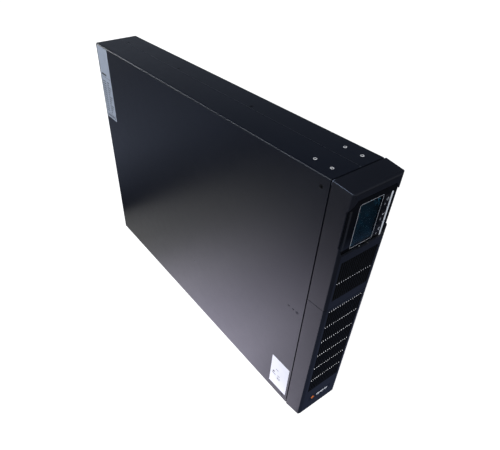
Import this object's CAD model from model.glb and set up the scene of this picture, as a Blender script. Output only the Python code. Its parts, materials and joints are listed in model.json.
import json
import math

import bmesh
import bpy
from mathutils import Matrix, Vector


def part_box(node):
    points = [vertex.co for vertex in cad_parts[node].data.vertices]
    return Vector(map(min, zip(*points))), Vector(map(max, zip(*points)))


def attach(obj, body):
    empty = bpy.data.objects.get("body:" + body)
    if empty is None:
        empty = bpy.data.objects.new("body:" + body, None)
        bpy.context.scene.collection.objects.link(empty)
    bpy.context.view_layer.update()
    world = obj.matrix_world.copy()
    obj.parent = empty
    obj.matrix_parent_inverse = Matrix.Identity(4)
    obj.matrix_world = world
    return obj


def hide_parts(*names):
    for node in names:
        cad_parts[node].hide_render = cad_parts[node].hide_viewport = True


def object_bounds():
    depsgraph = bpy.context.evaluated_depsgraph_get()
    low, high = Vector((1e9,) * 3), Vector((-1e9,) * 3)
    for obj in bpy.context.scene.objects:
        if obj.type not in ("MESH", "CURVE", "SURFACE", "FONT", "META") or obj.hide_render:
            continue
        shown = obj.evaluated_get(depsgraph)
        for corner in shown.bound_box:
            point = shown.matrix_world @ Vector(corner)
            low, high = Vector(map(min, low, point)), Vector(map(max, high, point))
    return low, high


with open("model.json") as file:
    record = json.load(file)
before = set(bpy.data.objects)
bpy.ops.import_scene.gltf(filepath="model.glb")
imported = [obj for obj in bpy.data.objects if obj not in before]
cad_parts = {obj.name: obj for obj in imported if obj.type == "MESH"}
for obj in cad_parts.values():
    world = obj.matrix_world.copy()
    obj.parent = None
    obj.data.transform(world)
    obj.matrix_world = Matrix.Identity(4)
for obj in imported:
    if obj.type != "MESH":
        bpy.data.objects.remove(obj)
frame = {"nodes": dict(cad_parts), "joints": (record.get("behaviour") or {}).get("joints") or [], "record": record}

CAD_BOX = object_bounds()
LOW, HIGH = CAD_BOX
MM = 0.001
PRINT = (-0.01, 0.04)  # depth of printed marks in mm, from just under the surface to just above it
BODY_OF = {n: b for b, names in frame["record"]["behaviour"]["bodies"].items() for n in names}
SLOT_OF = {s["node"]: s["material_slot"] for s in frame["record"]["subparts"]}


# ---------- camera ----------

def make_camera():
    data = bpy.data.cameras.new("camera")
    data.sensor_width = 36.0
    data.lens = 31.25
    data.shift_x = 0.0742
    data.shift_y = 0.0658
    data.clip_start = 0.01
    camera = bpy.data.objects.new("camera", data)
    bpy.context.scene.collection.objects.link(camera)
    camera.location = (-0.3710, -0.5465, 0.6767)
    view = Vector((0.4295, 0.6161, -0.6603))
    camera.rotation_euler = view.to_track_quat("-Z", "Y").to_euler()
    bpy.context.scene.camera = camera


# ---------- material helpers ----------

def fill_ramp(ramp, stops):
    """Sets a colour ramp's stops from (place, colour) pairs."""
    while len(ramp.elements) < len(stops):
        ramp.elements.new(0.5)
    for element, (at, colour) in zip(ramp.elements, stops):
        element.position = at
        element.color = (*colour, 1.0)


class Nodes:
    """A small builder around one material's node tree."""

    def __init__(self, name):
        self.material = bpy.data.materials.new(name)
        self.material.use_nodes = True
        self.tree = self.material.node_tree
        self.shader = next(n for n in self.tree.nodes if n.type == "BSDF_PRINCIPLED")
        self.coords = self.add("ShaderNodeTexCoord").outputs["Object"]

    def add(self, kind, **settings):
        node = self.tree.nodes.new(kind)
        for key, value in settings.items():
            setattr(node, key, value)
        return node

    def link(self, out, socket):
        self.tree.links.new(out, socket)

    def put(self, value, socket):
        """Links another node's output, or sets a number or an (r, g, b) colour."""
        if isinstance(value, bpy.types.NodeSocket):
            self.link(value, socket)
        elif isinstance(value, tuple):
            socket.default_value = (*value, 1.0)
        else:
            socket.default_value = value

    def axes(self):
        """The three coordinates of the shaded point, in metres."""
        split = self.add("ShaderNodeSeparateXYZ")
        self.link(self.coords, split.inputs[0])
        return split.outputs["X"], split.outputs["Y"], split.outputs["Z"]

    def stretched(self, scale):
        node = self.add("ShaderNodeMapping")
        node.inputs["Scale"].default_value = scale
        self.link(self.coords, node.inputs["Vector"])
        return node.outputs["Vector"]

    def noise(self, scale, detail=3.0, roughness=0.55, coords=None):
        node = self.add("ShaderNodeTexNoise")
        self.link(coords or self.coords, node.inputs["Vector"])
        node.inputs["Scale"].default_value = scale
        node.inputs["Detail"].default_value = detail
        node.inputs["Roughness"].default_value = roughness
        return node.outputs["Fac"]

    def cells(self, scale, feature="F1", out="Distance"):
        node = self.add("ShaderNodeTexVoronoi", feature=feature)
        self.link(self.coords, node.inputs["Vector"])
        node.inputs["Scale"].default_value = scale
        return node.outputs[out]

    def ramp(self, fac, stops):
        node = self.add("ShaderNodeValToRGB")
        self.link(fac, node.inputs["Fac"])
        fill_ramp(node.color_ramp, stops)
        return node.outputs["Color"]

    def span(self, fac, low, high, new_low, new_high):
        node = self.add("ShaderNodeMapRange")
        self.link(fac, node.inputs["Value"])
        for key, value in (("From Min", low), ("From Max", high), ("To Min", new_low), ("To Max", new_high)):
            node.inputs[key].default_value = value
        return node.outputs["Result"]

    def math(self, operation, a, b=0.0):
        node = self.add("ShaderNodeMath", operation=operation)
        self.put(a, node.inputs[0])
        self.put(b, node.inputs[1])
        return node.outputs[0]

    def mix(self, fac, a, b, blend="MIX"):
        node = self.add("ShaderNodeMix", data_type="RGBA", blend_type=blend)
        self.put(fac, node.inputs[0])
        self.put(a, node.inputs[6])
        self.put(b, node.inputs[7])
        return node.outputs[2]

    def times(self, a, b):
        """The product of two colours."""
        return self.mix(1.0, a, b, "MULTIPLY")

    def bump(self, height, strength, distance, below=None):
        node = self.add("ShaderNodeBump")
        node.inputs["Strength"].default_value = strength
        node.inputs["Distance"].default_value = distance
        self.link(height, node.inputs["Height"])
        if below is not None:
            self.link(below, node.inputs["Normal"])
        return node.outputs["Normal"]

    def edges(self, radius):
        """1 along sharp edges, 0 on flat ground."""
        bevel = self.add("ShaderNodeBevel", samples=4)
        bevel.inputs["Radius"].default_value = radius
        geometry = self.add("ShaderNodeNewGeometry")
        dot = self.add("ShaderNodeVectorMath", operation="DOT_PRODUCT")
        self.link(bevel.outputs["Normal"], dot.inputs[0])
        self.link(geometry.outputs["Normal"], dot.inputs[1])
        return self.span(dot.outputs["Value"], 0.995, 0.85, 0.0, 1.0)

    def finish(self, colour, rough, metallic=0.0, normal=None, **constants):
        self.put(colour, self.shader.inputs["Base Color"])
        self.put(rough, self.shader.inputs["Roughness"])
        self.shader.inputs["Metallic"].default_value = metallic
        if normal is not None:
            self.link(normal, self.shader.inputs["Normal"])
        for key, value in constants.items():
            self.shader.inputs[key.replace("_", " ")].default_value = value
        return self.material


def scaled(colour, k):
    return tuple(c * k for c in colour)


def rubbed_corners(n):
    """1 along the two long top edges, where hands rub the plastic."""
    x, _, z = n.axes()
    side = n.span(n.math("ABSOLUTE", x), HIGH.x - 0.005, HIGH.x - 0.002, 0.0, 1.0)
    top = n.span(z, HIGH.z - 0.006, HIGH.z - 0.002, 0.0, 1.0)
    return n.math("MULTIPLY", n.edges(0.0009), n.math("MULTIPLY", side, top))


def moulded(name, colour, rough, grain=2600.0, depth=0.25, tint=0.12, rubbed=None, **constants):
    """Moulded plastic: a fine spark-eroded grain, slow colour drift, handling marks, rubbed edges."""
    n = Nodes(name)
    drift = n.noise(9.0, 4.0)
    tone = n.ramp(drift, [(0.3, scaled(colour, 1.0 - tint)), (0.7, scaled(colour, 1.0 + tint))])
    if rubbed:
        tone = n.mix(rubbed_corners(n), tone, rubbed)
    marks = n.noise(38.0, 6.0, 0.7)
    roughness = n.span(marks, 0.25, 0.75, rough * 0.86, rough * 1.16)
    fine = n.bump(n.cells(grain, "SMOOTH_F1"), depth, 0.00008)
    normal = n.bump(n.noise(140.0, 2.0), 0.02, 0.0002, fine)
    return n.finish(tone, roughness, normal=normal, **constants)


def sheet_metal(name, colour, rough, spangle=0.0, brushed=False):
    """Bare or plated metal, brushed along Y or with a zinc spangle."""
    n = Nodes(name)
    fac = n.cells(150.0, "F1", "Color") if spangle else n.noise(14.0, 5.0)
    tone = n.ramp(fac, [(0.2, scaled(colour, 0.86 - spangle)), (0.8, scaled(colour, 1.08 + spangle))])
    lines = n.noise(900.0, 3.0, 0.6, n.stretched((1.0, 0.03, 1.0)) if brushed else None)
    roughness = n.span(lines, 0.3, 0.7, rough * 0.8, rough * 1.25)
    normal = n.bump(lines, 0.12 if brushed else 0.06, 0.00005)
    return n.finish(tone, roughness, 1.0, normal)


def powder_coat(name, colour):
    """Fine textured powder coat over steel, a touch worn along its edges."""
    n = Nodes(name)
    drift = n.noise(5.0, 3.0)
    tone = n.ramp(drift, [(0.3, scaled(colour, 0.9)), (0.7, scaled(colour, 1.12))])
    speck = n.ramp(n.cells(1500.0, "F1", "Color"), [(0.0, (0.75,) * 3), (1.0, (1.3,) * 3)])
    tone = n.times(tone, speck)
    worn = n.math("MULTIPLY", n.edges(0.0004), n.span(n.noise(300.0, 4.0), 0.35, 0.7, 0.1, 0.6))
    tone = n.mix(worn, tone, (0.018, 0.022, 0.032))
    roughness = n.span(n.noise(60.0, 5.0, 0.7), 0.25, 0.75, 0.27, 0.34)
    peel = n.bump(n.noise(1300.0, 2.5, 0.6), 0.22, 0.00012)
    normal = n.bump(n.cells(420.0, "SMOOTH_F1"), 0.05, 0.0002, peel)
    return n.finish(tone, roughness, 0.0, normal, Specular_IOR_Level=0.5)


def gloss_panel(name, colour, rough=0.07):
    """Polished panel with faint smudges."""
    n = Nodes(name)
    smudge = n.noise(42.0, 6.0, 0.75)
    roughness = n.span(smudge, 0.45, 0.8, rough, rough + 0.12)
    normal = n.bump(n.noise(26.0, 2.0), 0.05, 0.0004)
    tone = n.ramp(n.noise(30.0, 3.0), [(0.3, scaled(colour, 0.8)), (0.7, scaled(colour, 1.25))])
    return n.finish(tone, roughness, 0.0, normal, Coat_Weight=0.6, Coat_Roughness=0.04)


def lens_glass(name):
    """Tinted clear window with faint smudges."""
    n = Nodes(name)
    roughness = n.span(n.noise(40.0, 6.0, 0.7), 0.4, 0.8, 0.02, 0.07)
    tone = n.ramp(n.noise(20.0), [(0.3, (0.42, 0.6, 0.7)), (0.7, (0.48, 0.66, 0.74))])
    return n.finish(tone, roughness, Transmission_Weight=1.0, IOR=1.46)


def lcd_panel(name):
    """Dark display panel with the faint grid of its cells."""
    n = Nodes(name)
    x, _, z = n.axes()
    flat = n.add("ShaderNodeCombineXYZ")
    n.link(x, flat.inputs["X"])
    n.link(z, flat.inputs["Y"])
    grid = n.add("ShaderNodeTexBrick", offset=0.0)
    n.link(flat.outputs[0], grid.inputs["Vector"])
    settings = {
        "Scale": 1600.0, "Mortar Size": 0.12, "Brick Width": 1.0, "Row Height": 1.0,
        "Color1": (0.022, 0.058, 0.078), "Color2": (0.024, 0.063, 0.084), "Mortar": (0.018, 0.048, 0.064),
    }
    for key, value in settings.items():
        n.put(value, grid.inputs[key])
    return n.finish(grid.outputs["Color"], n.span(n.noise(30.0), 0.3, 0.7, 0.12, 0.2))


def milky(name, colour):
    """Translucent moulded light guide."""
    n = Nodes(name)
    tone = n.ramp(n.noise(120.0, 4.0), [(0.3, scaled(colour, 0.93)), (0.7, colour)])
    return n.finish(tone, n.span(n.noise(300.0), 0.3, 0.7, 0.3, 0.42), Subsurface_Weight=0.25,
                    Subsurface_Radius=(0.002, 0.002, 0.002))


def circuit_board(name):
    """Solder mask over copper tracks, with plated pads."""
    n = Nodes(name)
    tracks = n.cells(260.0, "DISTANCE_TO_EDGE")
    copper = n.ramp(tracks, [(0.03, (0.03, 0.2, 0.09)), (0.06, (0.008, 0.075, 0.035))])
    pads = n.ramp(n.cells(170.0), [(0.10, (1, 1, 1)), (0.12, (0, 0, 0))])
    tone = n.mix(pads, copper, (0.62, 0.6, 0.52))
    return n.finish(tone, n.span(n.noise(80.0), 0.3, 0.7, 0.25, 0.4), 0.0, n.bump(tracks, 0.2, 0.0001))


def label_film(name, colour, rough, metallic):
    """Printed film, with a slight ripple over the panel behind it."""
    n = Nodes(name)
    tone = n.ramp(n.noise(24.0, 4.0), [(0.3, scaled(colour, 0.93)), (0.7, scaled(colour, 1.05))])
    ripple = n.bump(n.noise(70.0, 3.0), 0.12, 0.0003)
    normal = n.bump(n.noise(2200.0, 2.0), 0.08, 0.00005, ripple)
    return n.finish(tone, n.span(n.noise(45.0, 5.0), 0.3, 0.7, rough * 0.85, rough * 1.2), metallic, normal)


def slat_facing(name):
    """Pale satin facing of slats and insert rims: duller with height, bright again on the top face."""
    n = Nodes(name)
    _, _, z = n.axes()
    tone = n.ramp(n.span(z, 0.05, 0.45, 0.0, 1.0), [
        (0.0, (0.85, 0.87, 0.9)), (0.3, (0.8, 0.82, 0.86)), (0.48, (0.6, 0.61, 0.65)),
        (0.7, (0.32, 0.33, 0.37)), (0.93, (0.1, 0.1, 0.11)), (0.965, (0.85, 0.86, 0.88))])
    tone = n.mix(n.noise(220.0, 4.0), n.times(tone, (0.85, 0.85, 0.85)), tone)
    roughness = n.span(n.noise(90.0), 0.3, 0.7, 0.35, 0.5)
    return n.finish(tone, roughness, 0.0, n.bump(n.noise(900.0), 0.05, 0.00005))


def rubber(name, colour):
    """Matt insulation of leads and ribbon cable."""
    n = Nodes(name)
    tone = n.ramp(n.noise(60.0, 4.0), [(0.3, scaled(colour, 0.85)), (0.7, scaled(colour, 1.2))])
    roughness = n.span(n.noise(200.0), 0.3, 0.7, 0.5, 0.65)
    return n.finish(tone, roughness, 0.0, n.bump(n.noise(1500.0), 0.2, 0.0001))


def winding(name):
    """Lacquered copper turns."""
    n = Nodes(name)
    wave = n.add("ShaderNodeTexWave", wave_type="RINGS", rings_direction="X")
    n.link(n.coords, wave.inputs["Vector"])
    wave.inputs["Scale"].default_value = 160.0
    tone = n.ramp(wave.outputs["Fac"], [(0.2, (0.18, 0.05, 0.01)), (0.6, (0.6, 0.25, 0.08))])
    return n.finish(tone, 0.28, 0.6, n.bump(wave.outputs["Fac"], 0.6, 0.0006))


def make_materials():
    """Every slot's material, by the slot's name."""
    made = {}

    def add(name, recipe, *values, **constants):
        made[name] = recipe(name, *values, **constants)

    add("powder_coat", powder_coat, (0.0024, 0.0034, 0.0066))
    add("inner_steel", sheet_metal, (0.10, 0.10, 0.11), 0.42)
    add("zinc_steel", sheet_metal, (0.52, 0.54, 0.57), 0.32, spangle=0.1)
    add("screw_steel", sheet_metal, (0.5, 0.51, 0.53), 0.4)
    add("bezel_plastic", moulded, (0.0046, 0.0054, 0.0084), 0.34, depth=0.08, rubbed=(0.2, 0.24, 0.33))
    add("grille_plastic", moulded, (0.0015, 0.0017, 0.0022), 0.5, Specular_IOR_Level=0.25)
    add("badge_metal", sheet_metal, (0.03, 0.035, 0.05), 0.35, brushed=True)
    add("screw_black", sheet_metal, (0.035, 0.037, 0.042), 0.32)
    add("insert_zinc", sheet_metal, (0.5, 0.51, 0.53), 0.3)
    add("slat_metal", slat_facing)
    add("gloss_black", gloss_panel, (0.0016, 0.0018, 0.0024))
    add("lens", lens_glass)
    add("lcd_glass", lcd_panel)
    add("circuit_board", circuit_board)
    add("black_plastic", moulded, (0.010, 0.010, 0.011), 0.45)
    add("button_plastic", moulded, (0.006, 0.0065, 0.008), 0.22, depth=0.08)
    add("light_guide", milky, (0.62, 0.66, 0.72))
    add("strip_plastic", moulded, (0.012, 0.013, 0.016), 0.2, depth=0.08)
    add("cable_grey", rubber, (0.28, 0.29, 0.31))
    add("battery_case", moulded, (0.022, 0.023, 0.026), 0.5, grain=1400.0)
    add("brass_parts", sheet_metal, (0.72, 0.55, 0.26), 0.25)
    add("lead_red", rubber, (0.35, 0.02, 0.018))
    add("grey_plastic", moulded, (0.11, 0.115, 0.125), 0.4)
    add("guide_nylon", moulded, (0.6, 0.58, 0.5), 0.4, grain=900.0)
    add("heat_sink", sheet_metal, (0.6, 0.61, 0.63), 0.35, brushed=True)
    add("capacitor_sleeve", gloss_panel, (0.015, 0.03, 0.1), 0.2)
    add("winding", winding)
    add("ferrite", moulded, (0.04, 0.04, 0.043), 0.6, grain=1800.0, depth=0.5)
    add("lead_black", rubber, (0.012, 0.012, 0.013))
    add("chrome_wire", sheet_metal, (0.62, 0.63, 0.65), 0.16)
    add("socket_plastic", moulded, (0.009, 0.009, 0.010), 0.4, grain=2000.0)
    add("white_plastic", moulded, (0.62, 0.62, 0.58), 0.35)
    add("port_metal", sheet_metal, (0.55, 0.56, 0.58), 0.28)
    add("label_silver", label_film, (0.40, 0.45, 0.53), 0.4, 0.3)
    add("label_white", label_film, (0.70, 0.72, 0.76), 0.45, 0.0)
    add("print_grey", label_film, (0.42, 0.45, 0.5), 0.4, 0.0)
    add("print_dark", label_film, (0.03, 0.03, 0.035), 0.5, 0.0)
    add("accent_orange", label_film, (0.75, 0.2, 0.03), 0.35, 0.0)
    return made


MATERIALS = make_materials()


# ---------- pieces ----------

def dress(obj, node, slot=None):
    """Puts a piece on its node's body, with the slot's material."""
    bpy.context.scene.collection.objects.link(obj)
    slot = slot or SLOT_OF[node]
    obj.data.materials.clear()
    obj.data.materials.append(MATERIALS[slot])
    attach(obj, BODY_OF[node])
    return obj


def mesh_from(bm, name):
    mesh = bpy.data.meshes.new(name)
    bm.to_mesh(mesh)
    bm.free()
    return mesh


def clean_copy(node):
    """The node's own mesh with its flat faces joined up again, as a bmesh."""
    bm = bmesh.new()
    bm.from_mesh(frame["nodes"][node].data)
    bmesh.ops.remove_doubles(bm, verts=bm.verts, dist=2e-6)
    bmesh.ops.dissolve_limit(bm, angle_limit=math.radians(0.5), verts=bm.verts, edges=bm.edges)
    return bm


def mark_sharp(bm, degrees):
    limit = math.radians(degrees)
    for face in bm.faces:
        face.smooth = True
    for edge in bm.edges:
        edge.smooth = not (len(edge.link_faces) == 2 and edge.calc_face_angle(0.0) > limit)


def softened(node, width):
    """Stands for a CAD node, with its edges broken as on the real piece."""
    sharp_angle = 32.0
    bm = clean_copy(node)
    mark_sharp(bm, sharp_angle)
    name = node + "_soft"
    obj = bpy.data.objects.new(name, mesh_from(bm, name))
    bevel = obj.modifiers.new("edge", "BEVEL")
    bevel.width = width * MM
    bevel.segments = 2
    bevel.limit_method = "ANGLE"
    bevel.angle_limit = math.radians(sharp_angle)
    bevel.use_clamp_overlap = True
    bevel.miter_outer = "MITER_ARC"
    bevel.harden_normals = True
    flat = obj.modifiers.new("flat", "WEIGHTED_NORMAL")
    flat.mode = "FACE_AREA"
    flat.weight = 90
    flat.keep_sharp = True
    dress(obj, node)
    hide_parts(node)


def dress_nodes():
    """Gives every CAD node its slot's material."""
    for node in frame["nodes"]:
        data = frame["nodes"][node].data
        data.materials.clear()
        data.materials.append(MATERIALS[SLOT_OF[node]])


def soften_nodes():
    """Breaks the edges of the outer pieces, by widths in millimetres."""
    widths = {
        "chassis_tray": 0.25, "cover_shell": 0.25, "upper_bezel": 0.8, "lower_bezel": 0.5, "badge": 0.3,
        "display_fascia": 0.25, "display_lens": 0.2,
    }
    for node, width in widths.items():
        softened(node, width)


# ---------- detail pieces ----------

def new_piece(name, bm, node, slot, smooth_angle=30.0):
    """Turns a bmesh into a piece that rides on the node's body."""
    bmesh.ops.recalc_face_normals(bm, faces=bm.faces)
    mark_sharp(bm, smooth_angle)
    return dress(bpy.data.objects.new(name, mesh_from(bm, name)), node, slot)


def add_prism(bm, outline, low, high, place):
    """Closed prism over a 2-D outline; place turns (u, v, depth) into a point."""
    rings = [[bm.verts.new(place(u, v, d)) for u, v in outline] for d in (low, high)]
    count = len(outline)
    for k in range(count):
        j = (k + 1) % count
        bm.faces.new((rings[0][k], rings[0][j], rings[1][j], rings[1][k]))
    bm.faces.new(rings[0])
    bm.faces.new(rings[1])


def add_frame(bm, outer, inner, low, high, place):
    """Closed ring between two outlines with the same number of points."""
    rings = [[bm.verts.new(place(u, v, d)) for u, v in line]
             for line, d in ((outer, low), (outer, high), (inner, high), (inner, low))]
    count = len(outer)
    for a in range(4):
        b = (a + 1) % 4
        for k in range(count):
            j = (k + 1) % count
            bm.faces.new((rings[a][k], rings[a][j], rings[b][j], rings[b][k]))


def middle_of(node):
    """Centre of a node's front, as x and z in millimetres."""
    low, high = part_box(node)
    return (low.x + high.x) / 2 / MM, (low.z + high.z) / 2 / MM


def circle_points(radius, count, u=0.0, v=0.0, start=0.0, turn=360.0):
    full = turn >= 360.0
    steps = count if full else count - 1
    angles = [math.radians(start + turn * k / steps) for k in range(count)]
    return [(u + radius * math.cos(a), v + radius * math.sin(a)) for a in angles]


def box_points(u, v, width, height):
    return [(u - width / 2, v - height / 2), (u + width / 2, v - height / 2),
            (u + width / 2, v + height / 2), (u - width / 2, v + height / 2)]


def rounded_points(u, v, width, height, radius, steps=6):
    points = []
    for k, (su, sv) in enumerate(((1, 1), (-1, 1), (-1, -1), (1, -1))):
        cu, cv = u + su * (width / 2 - radius), v + sv * (height / 2 - radius)
        points += circle_points(radius, steps, cu, cv, 90.0 * k, 90.0)
    return points


def on_front(y):
    """Millimetre outline points (x, z) on a plane facing the front, depth towards the viewer."""
    return lambda u, v, d: Vector((u * MM, y - d * MM, v * MM))


def on_level(z, up):
    """Outline points (x, y) on a level face that looks up (1) or down (-1), depth outwards."""
    return lambda u, v, d: Vector((u * MM, v * MM, z + up * d * MM))


def on_left(x):
    """Outline points (y, z) on the large face, depth outwards."""
    return lambda u, v, d: Vector((x - d * MM, u * MM, v * MM))


def add_tube(bm, path, radius, closed=False, sides=10):
    """Round wire along a path in an X-Z plane."""
    depth = Vector((0, 1, 0))
    rings, count = [], len(path)
    for k, point in enumerate(path):
        after = path[(k + 1) % count] if closed or k < count - 1 else point
        before = path[k - 1] if closed or k > 0 else point
        along = (after - before).normalized()
        across = along.cross(depth).normalized()
        ring = []
        for j in range(sides):
            a = 2 * math.pi * j / sides
            ring.append(bm.verts.new(point + radius * (math.cos(a) * across + math.sin(a) * depth)))
        rings.append(ring)
    pairs = list(zip(rings, rings[1:])) + ([(rings[-1], rings[0])] if closed else [])
    for one, two in pairs:
        for j in range(sides):
            i = (j + 1) % sides
            bm.faces.new((one[j], one[i], two[i], two[j]))
    if not closed:
        bm.faces.new(rings[0])
        bm.faces.new(rings[-1])


def loop_path(radius, centre, count):
    return [centre + Vector((u * MM, 0, v * MM)) for u, v in circle_points(radius, count)]


def fan_centres():
    return [Vector(j["pos_m"]) for j in frame["joints"] if j.get("continuous")]


def make_fan_guards():
    """Round wire guards: four rings welded on crossed arms that end in screw eyes."""
    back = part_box("fan_guards")[0].y
    arm_wire = 0.75 * MM
    ring_wire = 0.6 * MM
    screw_reach = 35.75 * MM
    arm_start = 9.0 * MM
    eye = 3.2
    for k, fan in enumerate(fan_centres()):
        bm = bmesh.new()
        for radius in (14.0, 21.0, 28.0, 35.0):
            add_tube(bm, loop_path(radius, Vector((fan.x, back + 1.15 * MM, fan.z)), 48), ring_wire, True)
        centre = Vector((fan.x, back + arm_wire, fan.z))
        for sx, sz in ((-1, -1), (-1, 1), (1, -1), (1, 1)):
            outwards = Vector((sx, 0, sz))
            screw = centre + outwards * screw_reach
            add_tube(bm, loop_path(eye, screw, 20), arm_wire, True)
            end = screw - outwards * (eye / math.sqrt(2)) * MM
            add_tube(bm, [centre + outwards * arm_start, end], arm_wire)
        guard = new_piece(f"fan_guard_{k}", bm, "fan_guards", "chrome_wire", 60.0)
        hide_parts("fan_guards")


def make_thumbscrews():
    """Captive thumbscrews: a knob with a straight knurl, a stepped face and a plain shank."""
    low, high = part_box("drawer_screws")
    radius = (high.x - low.x) / 2 / MM
    middle = (high.x + low.x) / 2 / MM
    length = (high.y - low.y) / MM
    front = on_front(low.y)
    teeth = 30
    tooth_depth = 0.3
    knob_back = 7.6
    for k, z in enumerate((low.z / MM + radius, high.z / MM - radius)):
        bm = bmesh.new()
        outline = []
        for j in range(2 * teeth):
            r = radius if j % 2 else radius - tooth_depth
            a = math.pi * j / teeth
            outline.append((middle + r * math.cos(a), z + r * math.sin(a)))
        add_prism(bm, outline, -knob_back, -0.6, front)
        add_prism(bm, circle_points(radius - 0.7, 40, middle, z), -0.7, -0.15, front)
        add_prism(bm, circle_points(2.0, 32, middle, z), -length, 0.1 - knob_back, front)
        screw = new_piece(f"thumbscrew_{k}", bm, "drawer_screws", "screw_steel")
        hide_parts("drawer_screws")


def make_display_print():
    """Outline round the display window and ticks beside the status lights."""
    low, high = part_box("display_lens")
    face = on_front(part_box("display_fascia")[0].y)
    u, v = middle_of("display_lens")
    width, height = (high.x - low.x) / MM, (high.z - low.z) / MM
    bm = bmesh.new()
    add_frame(bm, rounded_points(u, v, width + 1.3, height + 1.3, 1.5),
              rounded_points(u, v, width + 0.5, height + 0.5, 1.1), *PRINT, face)
    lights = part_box("status_lights")
    joint = (lights[1].z - lights[0].z) / 3 / MM
    for k in (1, 2):
        z = lights[0].z / MM + k * joint
        add_prism(bm, box_points(lights[0].x / MM - 1.3, z, 1.6, 0.5), *PRINT, face)
    new_piece("display_outline", bm, "display_fascia", "print_grey")


def icon_power(bm, u, v, face):
    """Broken ring with a stroke in its gap."""
    arc_out = circle_points(2.0, 24, u, v, 120, 300)
    arc_in = circle_points(1.55, 24, u, v, 120, 300)
    add_prism(bm, arc_out + arc_in[::-1], *PRINT, face)
    add_prism(bm, box_points(u, v + 1.5, 0.45, 2.0), *PRINT, face)


def icon_arrows(bm, u, v, face):
    """Triangles up and down."""
    for s in (-1, 1):
        add_prism(bm, [(u - 1.6, v + s * 0.5), (u + 1.6, v + s * 0.5), (u, v + s * 2.4)], *PRINT, face)


def icon_enter(bm, u, v, face):
    """Arrow that turns back to the left."""
    add_prism(bm, [(u - 2.1, v), (u - 0.5, v + 1.3), (u - 0.5, v - 1.3)], *PRINT, face)
    add_prism(bm, [(u - 0.6, v - 0.22), (u + 1.9, v - 0.22), (u + 1.9, v + 2.0), (u + 1.45, v + 2.0),
                   (u + 1.45, v + 0.22), (u - 0.6, v + 0.22)], *PRINT, face)


def make_button_icons():
    """A generic sign and a short bar printed on each push button."""
    icons = {"power_button": icon_power, "select_button": icon_enter, "scroll_button": icon_arrows}
    for node, icon in icons.items():
        face = on_front(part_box(node)[0].y)
        u, v = middle_of(node)
        bm = bmesh.new()
        icon(bm, u + 0.8, v + 2.2, face)
        add_prism(bm, box_points(u - 1.9, v - 4.0, 0.6, 3.0), *PRINT, face)
        new_piece(node + "_icon", bm, node, "print_grey")


def label_marks(name, node, rows):
    """Plain bars in place of print; rows are (left, bottom, width, height) as shares of the label."""
    low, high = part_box(node)
    face = on_left(low.x)
    size_y, size_z = (high.y - low.y) / MM, (high.z - low.z) / MM
    bm = bmesh.new()
    for left, bottom, width, height in rows:
        u = high.y / MM - (left + width / 2) * size_y
        v = low.z / MM + (bottom + height / 2) * size_z
        add_prism(bm, box_points(u, v, width * size_y, height * size_z), -0.01, 0.03, face)
    new_piece(name, bm, node, "print_dark")


def upright_bars(left, bottom, pitch, thin, height, count, step):
    """A row of upright bars in three widths."""
    return [(left + pitch * k, bottom, thin + 0.006 * (k * step % 3), height) for k in range(count)]


def make_label_print():
    """Two columns of plain bars, rules and a row of uprights on one label, a few bars on the other."""
    rating = []
    for k in range(14):
        z = 0.10 + 0.033 * k
        rating.append((0.08, z, 0.30, 0.012))
        rating.append((0.52, z, 0.16 + 0.07 * (k * 5 % 4), 0.012))
    rating += [(0.06, 0.595, 0.88, 0.004), (0.06, 0.075, 0.88, 0.004), (0.08, 0.62, 0.5, 0.025)]
    rating += upright_bars(0.08, 0.02, 0.035, 0.012, 0.04, 24, 7)
    label_marks("rating_marks", "rating_label", rating)
    serial = [(0.30, 0.60, 0.14, 0.02), (0.14, 0.44, 0.10, 0.05),
              (0.10, 0.38, 0.22, 0.02), (0.44, 0.42, 0.12, 0.02)]
    serial += upright_bars(0.42, 0.30, 0.03, 0.008, 0.07, 6, 5)
    label_marks("serial_marks", "serial_label", serial)


def make_slat_facings():
    """Bright facing on the sloping faces of the grilles' cross slats, between the fins."""
    for node in ("upper_grille", "lower_grille"):
        source = clean_copy(node)
        bm = bmesh.new()
        for face in source.faces:
            if face.normal.y < -0.4 and face.normal.z > 0.4:
                outline = [(v.co, face.normal) for v in face.verts]
                add_prism(bm, outline, -0.01, 0.8, lambda at, normal, d: at + normal * d * MM)
        source.free()
        new_piece(node + "_facings", bm, node, "slat_metal")


def make_badge_mark():
    """Plain disc and three plain bars on the badge, meaning nothing."""
    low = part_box("badge")[0]
    face = on_front(low.y)
    _, v = middle_of("badge")
    bm = bmesh.new()
    add_prism(bm, circle_points(3.3, 40, low.x / MM + 8.0, v), -0.05, 0.25, face)
    new_piece("badge_dot", bm, "badge", "accent_orange")
    bm = bmesh.new()
    for k in range(3):
        add_prism(bm, rounded_points(low.x / MM + 20.5 + 9.0 * k, v, 7.4, 4.4, 1.2), -0.05, 0.2, face)
    new_piece("badge_bars", bm, "badge", "label_white")


def make_seam_edge():
    """Bare cut edge of the tray along the seam on the top and bottom faces."""
    low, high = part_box("chassis_tray")
    left, front, back = low.x / MM, low.y / MM, high.y / MM
    width = 0.3
    bm = bmesh.new()
    for face in (on_level(high.z, 1), on_level(low.z, -1)):
        add_prism(bm, box_points(left + width / 2, (front + back) / 2, width, back - front), -0.1, 0.06, face)
        add_prism(bm, box_points(left - 1.2, front + 0.7, 3.4, 0.6), -0.1, 0.06, face)
    new_piece("seam_edge", bm, "chassis_tray", "insert_zinc")


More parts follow.
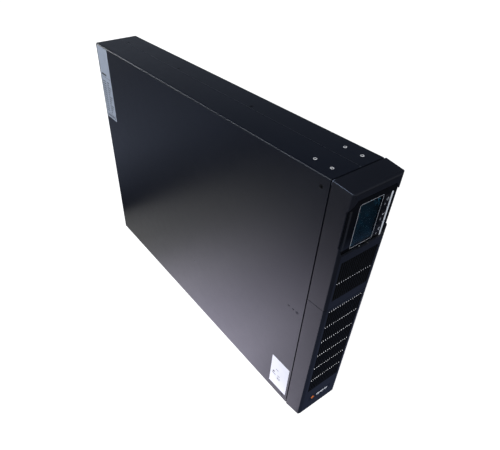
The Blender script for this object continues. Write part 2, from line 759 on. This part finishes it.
def make_ear_rims():
    """Bright chamfered mouths of the threaded ear inserts."""
    mounts = [m for m in frame["record"]["mounts"] if m["kind"] == "bolt_pattern"]
    for k, mount in enumerate(mounts):
        dims = mount["dims"]
        centre = Vector(mount["pos_m"])
        face = on_level(centre.z, mount["axis"][2])
        hole = dims["hole_r_mm"]
        bm = bmesh.new()
        for sx, sy in ((-0.5, -0.5), (-0.5, 0.5), (0.5, -0.5), (0.5, 0.5)):
            x = centre.x / MM + sx * dims["spacing_x_mm"]
            y = centre.y / MM + sy * dims["spacing_y_mm"]
            outer, inner = circle_points(hole + 0.5, 32, x, y), circle_points(hole + 0.05, 32, x, y)
            add_frame(bm, outer, inner, -0.3, 0.12, face)
        new_piece(f"ear_rims_{k}", bm, "ear_inserts", "slat_metal")


# ---------- stage ----------

def grey_stops(*pairs):
    return [(at, (value,) * 3) for at, value in pairs]


def pool_of_light(n, out, along):
    """Soft pool beside the object, a little violet."""
    across = n.ramp(out, grey_stops((0.0, 1.0), (0.2, 0.9), (0.36, 0.72), (0.5, 0.54), (0.62, 0.33),
                                    (0.78, 0.08), (0.95, 0.0)))
    down = n.ramp(along, grey_stops((0.0, 0.04), (0.03, 0.55), (0.15, 0.72), (0.22, 0.92), (0.29, 0.9),
                                    (0.37, 0.8), (0.5, 0.5), (0.6, 0.24), (0.66, 0.08), (0.75, 0.0)))
    return n.times(n.times(across, down), (1.0, 0.95, 1.17))


def tail_of_light(n, out, along):
    """Dim stretch beside the back half of the object."""
    across = n.ramp(out, grey_stops((0.0, 0.95), (0.68, 0.9), (0.85, 0.5), (1.0, 0.2)))
    down = n.ramp(along, grey_stops((0.37, 0.03), (0.5, 0.19), (0.66, 0.26), (0.78, 0.24), (0.84, 0.2),
                                    (0.89, 0.14), (0.93, 0.01)))
    return n.times(across, down)


def floor_glow(n):
    """What the object's faces mirror: light beside it, the dark in front of it, the room behind it."""
    x, y, _ = n.axes()
    beside = n.math("MAXIMUM", n.math("SUBTRACT", n.math("ABSOLUTE", x), HIGH.x), 0.0)
    out = n.span(beside, 0.0, 0.5, 0.0, 1.0)
    along = n.span(y, LOW.y - 0.026, LOW.y + 0.774, 0.0, 1.0)
    glow = n.mix(1.0, pool_of_light(n, out, along), tail_of_light(n, out, along), "ADD")
    room = n.ramp(n.span(y, 0.36, 1.56, 0.0, 1.0), [
        (0.0, (0.0, 0.0, 0.0)), (0.07, (0.01, 0.012, 0.02)), (0.3, (0.085, 0.098, 0.135)),
        (1.0, (0.04, 0.045, 0.06))])
    ahead = n.ramp(n.span(y, LOW.y, LOW.y - 0.5, 0.0, 1.0), [
        (0.0, (0.038, 0.048, 0.086)), (0.42, (0.042, 0.052, 0.09)), (0.54, (0.004, 0.005, 0.008)),
        (1.0, (0.012, 0.013, 0.016))])
    behind_front = n.span(y, LOW.y - 0.002, LOW.y + 0.012, 0.0, 1.0)
    return n.mix(1.0, n.mix(behind_front, ahead, glow), room, "ADD")


def floor_material():
    """Pale floor to the camera; faces that mirror it see the pool of light."""
    n = Nodes("floor")
    mirrored = n.times(floor_glow(n), (2.0, 2.0, 2.0))
    camera = n.add("ShaderNodeLightPath").outputs["Is Camera Ray"]
    reach = n.add("ShaderNodeVectorMath", operation="LENGTH")
    n.link(n.coords, reach.inputs[0])
    far = n.span(reach.outputs["Value"], 0.5, 2.5, 0.75, 1.0)
    n.link(n.mix(camera, mirrored, far), n.shader.inputs["Emission Color"])
    colour = n.mix(camera, (0.0, 0.0, 0.0), (0.45, 0.45, 0.45))
    return n.finish(colour, 1.0, Specular_IOR_Level=0.0, Emission_Strength=1.0)


def make_floor():
    half = 12.0
    mesh = bpy.data.meshes.new("floor")
    corners = [(-half, -half, 0), (half, -half, 0), (half, half, 0), (-half, half, 0)]
    mesh.from_pydata(corners, [], [(0, 1, 2, 3)])
    mesh.materials.append(floor_material())
    floor = bpy.data.objects.new("floor", mesh)
    bpy.context.scene.collection.objects.link(floor)
    floor.location.z = LOW.z - 0.0002


def area_light(name, place, target, size, power, colour=(1, 1, 1)):
    """Rectangular lamp at a place, turned to face a target."""
    data = bpy.data.lights.new(name, "AREA")
    data.shape = "RECTANGLE"
    data.size, data.size_y = size
    data.energy = power
    data.color = colour
    light = bpy.data.objects.new(name, data)
    bpy.context.scene.collection.objects.link(light)
    light.location = place
    light.rotation_euler = (Vector(target) - Vector(place)).to_track_quat("-Z", "Y").to_euler()


def make_world():
    """Dim room in mirrored and scattered light, white where the camera looks past the floor."""
    world = bpy.data.worlds.new("studio")
    bpy.context.scene.world = world
    world.use_nodes = True
    tree = world.node_tree
    background = tree.nodes["Background"]
    coords = tree.nodes.new("ShaderNodeTexCoord")
    split = tree.nodes.new("ShaderNodeSeparateXYZ")
    ramp = tree.nodes.new("ShaderNodeValToRGB")
    path = tree.nodes.new("ShaderNodeLightPath")
    mix = tree.nodes.new("ShaderNodeMix")
    mix.data_type = "RGBA"
    tree.links.new(coords.outputs["Generated"], split.inputs[0])
    tree.links.new(split.outputs["Z"], ramp.inputs["Fac"])
    fill_ramp(ramp.color_ramp, [
        (0.0, (0.34, 0.36, 0.41)), (0.18, (0.25, 0.27, 0.31)), (0.30, (0.10, 0.12, 0.16)),
        (0.41, (0.015, 0.02, 0.035)), (1.0, (0.004, 0.006, 0.012))])
    tree.links.new(path.outputs["Is Camera Ray"], mix.inputs[0])
    tree.links.new(ramp.outputs["Color"], mix.inputs[6])
    mix.inputs[7].default_value = (1.0, 1.0, 1.0, 1.0)
    tree.links.new(mix.outputs[2], background.inputs["Color"])


def make_lights():
    """A big soft key from the front left, a narrow strip for the top edges and a low back light."""
    middle = (LOW + HIGH) / 2
    area_light("key", (-1.5, -1.5, 2.0), middle, (1.6, 1.6), 100)
    area_light("edge", (-0.81, 1.45, 1.5), (-0.81, 1.45, 0.0), (0.16, 3.3), 22, (0.86, 0.92, 1.0))
    area_light("back", (-0.5, 2.6, 0.5), middle, (0.9, 0.7), 16)
    bpy.context.scene.view_settings.view_transform = "Standard"


make_camera()
dress_nodes()
soften_nodes()
make_fan_guards()
make_thumbscrews()
make_display_print()
make_button_icons()
make_label_print()
make_badge_mark()
make_slat_facings()
make_ear_rims()
make_seam_edge()
make_floor()
make_world()
make_lights()
